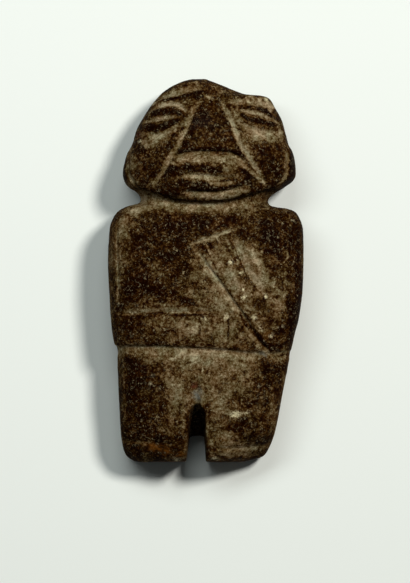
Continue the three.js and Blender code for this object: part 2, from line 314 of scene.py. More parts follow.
armCuts = [
    # the upper side of the figure's right forearm
    cut([(-28, -13.8), (-22, -13.6), (-12, -13.3), (-2, -13.1), (4, -13)], left=2.3, right=0.7,
        depth=0.95, dust=0.9, fade=(0.15, 0.2)),
    # the end of its hand, and a finger
    cut([(7.7, -12.6), (7.6, -23.8)], left=3.6, right=0.6, depth=0.8, dust=0.7, fade=(0.1, 0.1)),
    cut([(-2, -14), (-2.1, -21)], left=0.5, right=0.5, depth=0.5, dust=0.1),
    # the outer edge of the right upper arm
    cut([(-27.6, 17.4), (-27.9, 6), (-27.5, -3), (-27.5, -12)], left=0.6, right=0.6, depth=0.4,
        dust=0.65),
    # the lower side of the figure's left forearm
    cut([(-4.8, 8.8), (-2.6, 6), (-0.7, 3.2), (1, 0.6), (3.4, -2.6), (6, -6.2), (8.6, -9.8), (12.2, -15),
        (14.6, -18.8), (17, -22.4), (19.2, -24.8)], left=0.75, right=2.6, depth=1, dust=1, fade=(0.3, 0)),
    # its upper side
    cut([(7.2, 12), (8.6, 8.4), (10.1, 4.6), (12.9, -0.8), (15.7, -4.8), (20, -9.8)], left=3.4,
        right=0.65, depth=0.85, dust=0.95, fade=(0.15, 0.4)),
    # its fingertips and fingers
    cut([(-5.6, 8), (-3, 8.6), (0.2, 9.8), (6, 11.8), (9.6, 13), (13.4, 14.2)], left=0.8, right=0.6,
        depth=0.9, dust=1, fade=(0.1, 0.3)),
    cut([(-0.2, 9.2), (2, 3.6)], left=0.5, right=0.5, depth=0.5, dust=0.9),
    cut([(3.3, 10.8), (4.7, 7)], left=0.5, right=0.5, depth=0.5, dust=0.7),
    cut([(5.4, 11.4), (8.6, 5.2)], left=0.6, right=0.6, depth=0.5, dust=0.8),
]

legCuts = [
    # under the forearm and the left elbow
    cut([(-31.5, -24.4), (-20, -24.2), (-4, -24.7), (6, -25.3), (12, -26), (20, -26.2), (30, -25.2)],
        left=1.2, right=3.4, depth=1.15, dust=1, fade=(0, 0.14), wraps=True),
    # above the cut between the legs
    cut([(-2.7, -31.5), (-2.9, -43)], left=1.9, right=1.9, depth=1.4, dust=0.5, fade=(0.9, 0)),
    # above each foot
    cut([(-28, -53.4), (-15, -54), (-6, -54.6)], left=1.3, right=1.3, depth=0.5, dust=0.45,
        fade=(0.25, 0.2)),
    cut([(0.6, -55.4), (9, -55.8), (23, -54.6)], left=1.3, right=1.3, depth=0.6, dust=0.7,
        fade=(0.2, 0.15)),
]

# rounded ridges between the grooves: the path, the width and the height
ridges = [
    # the rim of the mouth
    ([(-12.6, 28.6), (-9.5, 31.4), (-3, 32.2), (4, 32.2), (9.5, 31.2), (12.8, 28.6)], 1.5, 0.45),
    ([(-12.6, 28.4), (-7.5, 26.3), (0, 26), (7, 26.4), (12.8, 28.4)], 1.3, 0.4),
    # the lids
    ([(-18.4, 48.8), (-14, 50.2), (-9.6, 50), (-6.4, 48.4)], (1.2, 1.1), 0.35),
    ([(-19.6, 44.6), (-14, 45.2), (-8, 47)], 1, 0.35),
    ([(6.4, 52), (13, 51.2), (18, 50), (23, 46)], 1, 0.35),
    ([(10, 48.8), (15, 46.9), (19, 45.6), (23.4, 44.6)], 1.1, 0.35),
    # the forearms
    ([(-26, -18.8), (-10, -18.8), (6, -18.8)], 5, 0.4),
    ([(3.5, 8), (10, -3), (19, -18)], 5, 0.5),
]


handWork = {
    "wobble": 0.16,  # how unsteadily a groove was drawn
    "wobbleScale": 0.42,
    "steep": 1.25,  # a side narrower than this is a wall
    "tip": (0.1, 0.3),  # how much of its depth and of its width a faded end keeps
    "rolling": [(0.11, 0.16), (0.35, 0.07), (0.9, 0.03)],  # (waves per mm, height)
    "pits": 1300,
    "pitSize": (0.35, 1.0),
    "pitDepth": (0.04, 0.17),
    "triangles": 194000,
}


def smoothPath(points):
    # an even curve through the points
    points = np.array(points, float)
    padded = np.vstack([2 * points[0] - points[1], points, 2 * points[-1] - points[-2]])
    steps = np.linspace(0, 1, 10, endpoint=False)[:, None]
    way = []
    for a, b, c, d in zip(padded, padded[1:], padded[2:], padded[3:]):
        way.append(b + 0.5 * steps * (c - a + steps * (2 * a - 5 * b + 4 * c - d
                                                        + steps * (3 * b - 3 * c + d - a))))
    return np.vstack(way + [points[-1:]])


def measureAcross(x, y, way):
    # how far along the way, from 0 to 1, and how far to its left each point lies
    best, side, along = np.full(len(x), 1e9), np.zeros(len(x)), np.zeros(len(x))
    lengths = np.hypot(*np.diff(way, axis=0).T)
    done = 0
    for (ax, ay), (bx, by), length in zip(way[:-1], way[1:], lengths):
        ux, uy = (bx - ax) / length, (by - ay) / length
        t = np.clip((x - ax) * ux + (y - ay) * uy, 0, length)
        dx, dy = x - ax - t * ux, y - ay - t * uy
        distance = np.hypot(dx, dy)
        nearer = distance < best
        best = np.where(nearer, distance, best)
        side = np.where(nearer, np.sign(ux * dy - uy * dx), side)
        along = np.where(nearer, (done + t) / lengths.sum(), along)
        done += length
    return along, best * side


def followCut(x, y, groove, spread=1.0, wobble=0, flat=False):
    # how deep the cut is at each point, from 0 to 1, and which points it reaches;
    # a flat one keeps its strength almost to its edges
    way = smoothPath(groove["path"])
    reach = spread * max(groove["left"], groove["right"]) + 0.5
    near = np.flatnonzero(
        (x > way[:, 0].min() - reach) & (x < way[:, 0].max() + reach)
        & (y > way[:, 1].min() - reach) & (y < way[:, 1].max() + reach)
    )
    along, offset = measureAcross(x[near], y[near], way)
    if not np.isscalar(wobble):
        offset = offset + wobble[near]
    size = np.ones(len(near))
    shallow, thin = handWork["tip"]
    for share, place in zip(groove["fade"], (along, 1 - along)):
        if share:
            size = size * (shallow + (1 - shallow) * np.sin(np.clip(place / share, 0, 1) * math.pi / 2))
    wide = np.where(offset > 0, groove["left"], groove["right"])
    t = np.clip(np.abs(offset) / (wide * spread * (thin + (1 - thin) * size)), 0, 1)
    if flat:
        return near, softStep((1 - t) / 0.6) * size
    wall = np.where(wide < handWork["steep"], 1 - softStep(t), (1 - t) ** 1.5)
    return near, wall * size


def noiseAt(co, scale, shift=0.0):
    at = noise.noise
    return np.array([at((a * scale + shift, b * scale - shift, c * scale)) for a, b, c in co.tolist()])


def carve(piece):
    co, normal = readPlaces(piece.data), readNormals(piece.data)
    wobble = handWork["wobble"] * noiseAt(co, handWork["wobbleScale"])
    # only the front is carved, apart from the cuts that wrap round the sides
    front = softStep((normal[:, 2] + 0.05) / 0.3) * (co[:, 2] > edgeHeight(co[:, 1]) - 3)
    aside = softStep((co[:, 2] - 4) / 5)
    depth, lift = np.zeros(len(co)), np.zeros(len(co))
    for groove in headCuts + armCuts + legCuts:
        near, share = followCut(co[:, 0], co[:, 1], groove, 1.0, wobble)
        where = aside if groove["wraps"] else front
        depth[near] += (groove["depth"] * share * where[near]) ** 4
    for path, width, height in ridges:
        near, share = followCut(co[:, 0], co[:, 1], line(path, width))
        lift[near] = np.maximum(lift[near], height * share * front[near])
    away = normal + np.array([0, 0, 1.2]) * front[:, None]
    away /= np.linalg.norm(away, axis=1)[:, None]
    co += away * (lift - depth**0.25)[:, None]
    writePlaces(piece.data, co)


carve(figure)
evenOut(figure, blank["voxel"], 2)
print("grooves cut:", len(figure.data.vertices), "points")


# chips in the surface: x, y, half sizes, depth, and the turn in degrees where there is one
chips = [
    (9.2, -45.3, 1.8, 1, 0.35, 8), (-3.4, -35.8, 1.4, 0.9, 0.3), (18.2, 53.2, 1.6, 1, 0.35, -20),
    (14.2, 53.6, 1.3, 0.8, 0.25, 10), (-21.1, 42.1, 1.1, 1.4, 0.2, 20), (-9, -59, 1.6, 0.9, 0.3),
    (22.6, 6.4, 1.1, 3.4, 0.25, 12), (20.4, -20.4, 1.5, 1.1, 0.2, 20), (5.6, 27.5, 1.8, 0.8, 0.2, 5),
    (-24.5, -40, 1.2, 2.2, 0.25, 10), (17.5, -37, 1.6, 1.1, 0.2, 40), (-12.5, 57.2, 1.4, 0.7, 0.25, 30),
]


def patchShare(x, y, patch):
    # a soft-edged oval, 1 in the middle and 0 outside
    centreX, centreY, halfX, halfY = patch[:4]
    turn = math.radians(patch[5] if len(patch) > 5 else 0)
    c, s = math.cos(turn), math.sin(turn)
    dx, dy = x - centreX, y - centreY
    return 1 - softStep(np.hypot((dx * c + dy * s) / halfX, (dy * c - dx * s) / halfY))


def weather(piece):
    co, normal = readPlaces(piece.data), readNormals(piece.data)
    out = np.zeros(len(co))
    for scale, height in handWork["rolling"]:
        out += height * noiseAt(co, scale, 7.3)
    for chip in chips:
        out -= chip[4] * patchShare(co[:, 0], co[:, 1], chip) * (normal[:, 2] > 0)
    tree = kdtree.KDTree(len(co))
    for i, place in enumerate(co.tolist()):
        tree.insert(place, i)
    tree.balance()
    draw = random.Random(11)
    for _ in range(handWork["pits"]):
        middle = co[draw.randrange(len(co))].tolist()
        size, deep = draw.uniform(*handWork["pitSize"]), draw.uniform(*handWork["pitDepth"])
        for place, i, distance in tree.find_range(middle, size):
            out[i] -= deep * (1 - (distance / size) ** 2) ** 2
    resting = softStep((co[:, 2] - 0.02) / 0.4)
    co += normal * (out * resting)[:, None]
    co[:, 2] = np.maximum(co[:, 2], 0)
    writePlaces(piece.data, co)


def thinOut(piece):
    # larger faces on the back and sides, where there is no carving
    normal = readNormals(piece.data)
    group = piece.vertex_groups.new(name="plain")
    plain = np.clip(0.62 - 0.42 * normal[:, 2], 0.05, 1)
    for level in range(1, 11):
        chosen = np.flatnonzero(np.ceil(plain * 10) == level)
        group.add(chosen.tolist(), level / 10, "REPLACE")
    thin = piece.modifiers.new("thin", "DECIMATE")
    thin.ratio = handWork["triangles"] / (2 * len(piece.data.polygons))
    thin.vertex_group = group.name
    thin.vertex_group_factor = 1.0
    settle(piece)
    piece.vertex_groups.clear()


weather(figure)
thinOut(figure)
print("surface worn:", len(figure.data.polygons), "faces")


# soft ovals: x, y, half sizes, amount, and the turn where there is one.
# above zero is paler, below darker: mostly dust and dark polish, and a few are painted light on slopes in
# shade and painted shade on sides in shade
patches = [
    # head
    # (-16.4, 52.6) is painted light on a slope of the forehead that lies in shade
    (-12.5, 51.8, 3, 1.3, 0.24, 5), (-7, 57, 8, 2.2, 0.26, 18), (-16.4, 52.6, 2.2, 2, 0.5, 30),
    (-10, 45.4, 2, 1, 0.2, 20), (-5, 52, 4, 3.4, 0.14), (3, 51, 4, 5, 0.08), (0.6, 54, 1.8, 2, 0.34),
    (8.4, 49.6, 2, 4, 0.2, 10), (-3.5, 42, 5, 6, -0.06, 20), (0.4, 45, 6, 5, -0.2), (0, 38, 7, 2, 0.04),
    (5, 40, 4, 3, 0.06), (-15, 40.2, 6, 3.6, 0.32), (-20, 40.2, 2.6, 2.4, 0.44),
    (-16.5, 32.5, 5, 6, -0.08, 10), (-20.5, 32, 2.4, 6, 0.14), (-23.2, 33, 2.4, 8, 0.4),
    (-16.6, 27, 2, 2, 0.2), (16, 48, 8, 4, 0.16, -15), (16.6, 41.8, 7.6, 2.8, 0.54, -6),
    (23, 42, 1.8, 3, 0.24), (10.4, 41.4, 2.6, 7, 0.3, 22), (13, 38.2, 2.5, 2.6, 0.34, 30),
    (17.4, 28.6, 1, 3, 0.3, 15), (10, 30, 3, 2, 0.2), (20.4, 33, 5, 6, -0.2),
    (17, 52.2, 6, 2.8, 0.56, -6), (20.4, 51, 2.4, 2.2, 0.5), (17.6, 45, 3, 1.2, 0.2),
    (9.5, 52.2, 5, 2.2, 0.42, -10), (10.2, 47, 2, 2, 0.32), (8, 45, 1.4, 5, 0.2, 20),
    (-12, 25, 5, 3, -0.06, -25), (-14.6, 29.6, 2, 2, -0.14, -40), (15, 25.6, 3.4, 2, -0.14, 10),
    (12, 24.8, 2, 1.4, 0.6), (5, 22.8, 5, 1, 0.34), (1.6, 27.4, 1.2, 1.6, 0.4),
    (7.4, 31.6, 4.4, 2.6, 0.44), (10.4, 32.2, 2.6, 1.2, 0.3, -20), (2.4, 32.4, 2, 1.4, 0.24),
    (0, 20.4, 24, 3, 0.22), (-19.6, 20.6, 7, 4, 0.42, 8), (-22, 18.4, 2.4, 1.8, 0.5),
    (-17, 19.4, 3, 1.8, 0.3), (19, 19.8, 3, 1.6, 0.34, 10),
    # chest and shoulders
    (-26, 13.4, 5, 7, 0.36), (-12, 12.6, 14, 5, -0.1), (12, 15.8, 16, 2.6, -0.16), (22, 11, 7, 9, -0.36),
    (-15, 12, 7, 4, -0.1), (-19.6, 6, 1.6, 3, -0.14, 10), (27, 6, 3, 14, -0.14), (-27, 4, 3.4, 14, 0.26),
    (-21, 2, 3, 7, -0.2), (-15.6, 9, 3, 3, -0.16), (-15, 1, 3.4, 5, 0.1), (-14, -6.4, 12, 4, -0.17),
    (-9.6, -2, 2.4, 5, -0.16), (-7, 8.6, 3.4, 4, -0.14, -30), (-3, 1.6, 3, 7, 0.34, 25),
    (-5, -7, 3.4, 2.6, 0.36), (2.2, -7.6, 5, 7, 0.38, 35), (-4, -2.4, 2, 2, 0.2),
    (6, -12, 4.4, 4.4, 0.5, 30), (0, -11.6, 6, 2.8, 0.34), (-10, -10.8, 7, 1.8, 0.14),
    (2, -15, 3, 2.4, 0.24), (-24, -4, 4, 6, -0.14), (-15, -13.2, 6, 1, -0.2), (-3.6, -2.4, 2, 2, 0.2),
    # the figure's right forearm
    (-24, -18.5, 3, 5, -0.24), (-13, -16.6, 10, 3.2, 0.3), (-3, -18.4, 11, 5.6, 0.4),
    (5.2, -18.8, 3.4, 6, 0.3), (-10, -21, 6, 3, 0.24), (-0.4, -19, 1.4, 2.6, -0.26),
    (-6, -17.6, 2, 1.4, -0.3), (6, -21.6, 3.4, 2, 0.24),
    # its left forearm, hand and what lies beside them
    (3, 6, 5, 4.4, 0.36, 30), (2.2, 1.4, 2.6, 4.6, 0.5, 20), (1, 9.4, 2, 0.8, 0.3, 15),
    (7.4, -2, 5.4, 6.6, 0.54, 35), (6.8, -5.4, 1.4, 2, 0.2), (12, -7.6, 4.6, 7, 0.52, 35),
    (13, -9.8, 1.6, 1.4, -0.14), (0.6, 9.2, 2.4, 1, 0.3, 15), (9.2, 5.6, 2, 5, 0.4, 25),
    (6.4, 4.2, 3, 2, 0.4), (12.6, -0.8, 2.2, 3.6, 0.36, 30), (12, -12, 2.6, 2, 0.3, 30),
    (16.4, -16, 3, 6, 0.42, 30), (18, -14, 3, 4, 0.14, 30), (13.4, 5.4, 5, 7, 0.48, 35),
    (17.4, -2, 4.8, 8, 0.4, 30), (21.6, -4, 1.6, 1.4, 0.3), (16.6, -7.4, 2, 2, 0.3),
    (21.8, -8.4, 1.4, 2, -0.2), (22, -11, 3.6, 8, 0.34, 10), (22.6, 7, 1.7, 4.6, -0.26, 8),
    (26.4, -15, 2.4, 12, -0.34, 6), (21.6, -18.4, 1.8, 1.4, 0.3), (13.4, -12.4, 2, 1.6, 0.3),
    (24.8, -7.4, 1.4, 1.4, 0.3), (11, -20.8, 3, 3.4, 0.42, -25), (11.8, -15.6, 1.2, 2.6, -0.3, -30),
    (8.4, -23.6, 6, 1.4, 0.3), (19.2, -19.4, 3, 3, 0.3),
    # legs
    (-14, -27.4, 12, 2.6, 0.42), (16.4, -28, 2.4, 1.6, -0.4), (-7, -27.8, 5, 2, 0.3),
    (5, -28.4, 14, 2.6, 0.24, -2), (20, -28.4, 3, 2, 0.1), (1, -32, 16, 8, 0.34), (11.4, -32, 4, 5, 0.24),
    (4, -30, 6, 2, -0.1), (-9, -38, 4.6, 6, 0.44), (-3, -39.6, 6, 4, 0.4), (-10.6, -32, 1.6, 2.4, -0.1),
    (-23, -34, 5, 16, -0.12, 4), (-13.4, -43, 2, 5, -0.14), (-10.8, -47, 3, 7, 0.34, 4),
    (-7, -48, 1.6, 7, 0.46), (4, -41, 6, 7, 0.4), (6.4, -51.2, 7, 1.6, 0.4), (1.8, -57, 1.8, 3, 0.3),
    (8.6, -37.4, 4.6, 4, 0.3), (14, -37, 4, 5, 0.1), (11.4, -44.4, 6, 2, 0.44, 10), (5, -47, 6, 4, 0.2),
    (19, -33, 4, 6, -0.2), (17.4, -49, 2.4, 2.4, 0.3), (6, -54.2, 7, 3.4, 0.42),
    (7.6, -57.4, 10, 2.6, 0.44), (-19, -49, 8, 7, -0.2), (-14, -56, 11, 4, -0.34),
    (-20, -54, 8, 3, -0.12), (-24.6, -44, 2, 5, -0.14), (21, -44, 2, 10, 0.3, 8),
    (18.6, -42.4, 2, 3, -0.2), (-12, -33.5, 2.6, 3, 0.4), (7.5, -14, 2.4, 1.6, 0.3, 10),
    (4.4, 1.6, 1.6, 2.6, 0.34), (10.4, 2.6, 1.4, 1.8, 0.3), (-15.6, -19, 2, 1.6, 0.3),
    (1.8, -19.6, 1.4, 2, 0.26), (-10.4, 33.6, 2.4, 1, 0.4, -15), (-12.4, 51.4, 2.4, 1, 0.3),
    (0.2, 54, 1.2, 2.4, 0.24), (-23, 27.4, 2.4, 2.4, 0.3), (-24, 18.4, 2.4, 1.4, 0.34),
    (-21.6, 16.4, 2, 1.2, 0.3), (8.4, 37.6, 2.6, 1, 0.3, -15), (11.6, 32.8, 2, 1, 0.3, -30),
    (-8.8, -28, 2, 1.4, -0.3), (-24, -22.4, 2, 1.4, -0.2), (-18, 4, 2.6, 3, -0.24, 20),
    (-10, -7.4, 4, 2, -0.12), (16.2, -14.6, 2, 1.6, -0.26), (16.4, -29.4, 1.8, 1.4, -0.24),
    (0.4, -31.6, 1.4, 1.4, -0.26), (2.6, -46.8, 2.4, 1.2, -0.24), (6, 9.8, 2, 1, -0.26, 20),
    (-8.4, 52.4, 1.6, 1, -0.2), (23.4, 32.4, 2, 3, -0.16), (-17.2, -42.4, 2, 1.4, 0.2),
    (-22, -42.6, 2, 1.4, 0.2), (-20, -55, 2, 1.4, 0.24), (16, 37, 1.4, 3, 0.2),
    # (-16.6, 52.2) is more painted light on the same shaded slope
    (7.6, -49.6, 3, 1.4, -0.14), (-16.6, 52.2, 1.6, 1.4, 0.4), (0.2, 52.4, 1.4, 3, 0.2),
    (-4.4, 44.6, 1.4, 4, -0.14, 20), (24.2, -34, 0.9, 9, 0.3, 9), (-9.4, 45.6, 1.8, 1, 0.4),
    (18.4, 52.2, 3.6, 1.8, 0.4, -10), (13.6, 54.2, 3, 1.2, 0.4), (20.4, 50.4, 1.6, 1.6, 0.4),
    (-18.2, 38.6, 2.2, 1.6, 0.36), (-19.4, 42.4, 2, 1.2, 0.3), (23.6, 43.4, 1.4, 2, 0.4),
    (18.1, 27.8, 1, 2, 0.4, 25), (-25, 15.6, 2.6, 1.6, 0.3), (-22, 17, 1.8, 2, 0.25),
    (3.5, -0.8, 1.2, 1.2, 0.34), (9.6, 2.2, 1.2, 1.8, 0.3), (-4, -1, 1.4, 1.2, 0.3),
    (21, -4.4, 1.8, 1, 0.3), (24.6, -7.4, 1.8, 1.4, 0.34), (9.6, -7, 2.4, 1, 0.3),
    (6.6, -14.4, 1.4, 1.2, 0.34), (-19.6, -24.5, 3, 0.8, 0.34), (-15, -18, 2.2, 1.2, 0.2),
    (14, -21.8, 1.6, 1.8, 0.3), (12, -24.4, 2.6, 1, 0.3), (-10.4, -30.2, 3, 1, 0.26),
    (-13.8, -32.8, 1.2, 2.4, 0.34), (-11, -36, 1.2, 1.6, 0.3), (8.4, -45.2, 1.8, 1.2, 0.34),
    (13.4, -50, 2.4, 2.2, 0.3), (1.8, -54, 1.2, 3, 0.34), (3.4, -59, 1.6, 0.8, 0.4),
    (-10, -58.8, 1.6, 1, 0.34), (-17.6, -44.4, 2, 1.8, 0.24), (8.4, -36, 1.8, 1.8, 0.24),
    (2.6, -38, 2, 1.8, 0.2), (-24, 38, 1.6, 2, 0.3), (-24.4, 32, 1, 1.4, 0.3), (-10, 42, 1.4, 1.4, -0.3),
    (4.6, 43.2, 1.6, 1, -0.3), (-3.2, 43.2, 1, 1, -0.3), (4.4, 36.4, 3.4, 1, -0.26),
    (-2.6, 35.2, 1.4, 1, -0.26), (-5, 30.2, 2.4, 0.8, -0.3), (1.6, 33, 1.4, 0.8, -0.26),
    # (22.6, 30) and (27, 30.2) are painted shade on the shaded side of the ear and jaw
    (22.6, 30, 2, 3.4, -0.24), (27, 30.2, 0.8, 2, -0.3), (-12.6, 48.6, 1.4, 0.8, -0.3),
    (-12.6, 17, 3, 1.4, -0.3), (14, 15.6, 1.6, 2, -0.28), (11, 17.6, 1.4, 1, -0.2),
    (-17, 3.2, 3.6, 3.6, -0.18), (-9.6, -7.4, 3.4, 2.4, -0.2), (-5.6, 6.6, 2, 1.2, -0.26),
    (22.4, 12.6, 2.4, 3.4, -0.2), (13.4, 5.2, 1.4, 1, -0.3), (10.9, -14.4, 0.9, 1.4, -0.4),
    (21.8, -8, 0.8, 1.6, -0.4), (-15.2, -25, 1.6, 0.8, -0.3), (-5.6, -28.6, 3, 1.6, -0.24),
    (23, -26.6, 2.6, 0.8, -0.4), (2.6, -32.4, 2, 1.2, -0.3), (-4.2, -35.5, 1.2, 1, -0.5),
    (-11.6, -39.4, 1, 1, -0.3), (5.6, -41, 1, 0.8, -0.3), (-15, -52.6, 4, 2.2, -0.2),
    (-24.2, -58.4, 2, 1.6, -0.3), (-10, 7, 15, 11, -0.035), (22, 10, 7, 9, -0.05),
    (-20, -38, 8, 14, -0.04), (20, 32, 6, 6, 0.05), (12.4, 21.4, 1.4, 1.6, -0.25),
    (-14, 21.4, 1.4, 1, -0.25), (-7.4, 43.2, 1.6, 1.4, -0.3), (-13.4, 42.6, 1.6, 1, -0.2),
    # (-16.4, 52.2) is more painted light on the same shaded slope
    (-10, 39.2, 1, 1.6, 0.35), (-9.6, 33.4, 2.2, 0.8, 0.35), (-16.4, 52.2, 1.4, 1.2, 0.3),
    (-11.8, 51.6, 1.6, 0.8, 0.2), (-5.6, 50.4, 1.2, 1.4, 0.3), (-3, 56.3, 3, 0.8, 0.3, 15),
    (2, 49, 1, 1.6, 0.3), (17.4, 47.9, 1.6, 0.7, 0.4), (4.8, 47, 1.4, 1, 0.25), (21.4, 51, 1, 1.4, 0.4),
    (21.8, 48.6, 1, 1.4, 0.3), (16.4, 53.6, 1.2, 1, 0.3), (18.6, 52.8, 1.2, 1, -0.5),
    (20.4, 40.4, 2, 1.4, 0.35), (8, 38.2, 2, 0.8, 0.3), (25.8, 39, 0.8, 2.4, 0.3),
    (16, 34.8, 1.6, 1.4, 0.25), (18.4, 27.4, 1, 1.8, 0.35, 20), (1.6, 27.4, 1, 1, 0.3),
    (-17, 26.8, 0.9, 1.2, 0.35), (-22.4, 27.6, 1.8, 1.8, 0.3), (-1.4, 18.6, 1.2, 1.4, 0.25),
    (-16.4, 13.8, 1.6, 0.8, 0.25), (0.6, 10.6, 1, 0.8, 0.3), (17, 5.8, 2, 2, 0.3),
    (-7.6, 7, 1.2, 1, 0.25), (21, -17.4, 2, 1.8, 0.25), (8.4, -12.8, 1, 2, 0.3), (3, -22.4, 2, 1.4, 0.25),
    (24.4, -24.8, 1.6, 1, 0.3), (20, -30, 1.6, 0.8, 0.3), (-17.6, -13.2, 1.6, 1.4, -0.3),
    (4, -11.2, 1.2, 1, -0.25), (-24, -21, 2, 2.4, -0.25), (24, -19.4, 1.2, 2.4, -0.25),
    (24.6, -26.6, 2.4, 0.8, -0.3), (-28.2, -5.6, 0.9, 3, -0.3), (-26.4, 4, 0.8, 1.4, -0.3),
    (-19.8, 3.4, 1, 2.4, -0.25), (-0.2, -32, 0.8, 1.4, -0.3), (-7.8, -27, 1, 1.8, -0.3),
    (10.8, -33.4, 1, 0.8, -0.3), (20.4, -39.4, 1, 1, -0.3), (2.8, -54, 1.4, 0.8, -0.3),
    (-11.4, -51.6, 1.4, 1.2, 0.3), (15, -55, 2.4, 2, 0.3), (17.6, -51, 1.6, 1.6, 0.25),
    (10, -52.4, 1.4, 0.6, 0.3), (22.5, 8, 2.6, 6, -0.22), (4, 27.6, 9, 3, 0.06),
    (15.6, 3.4, 2.6, 5, 0.2, 30),
]
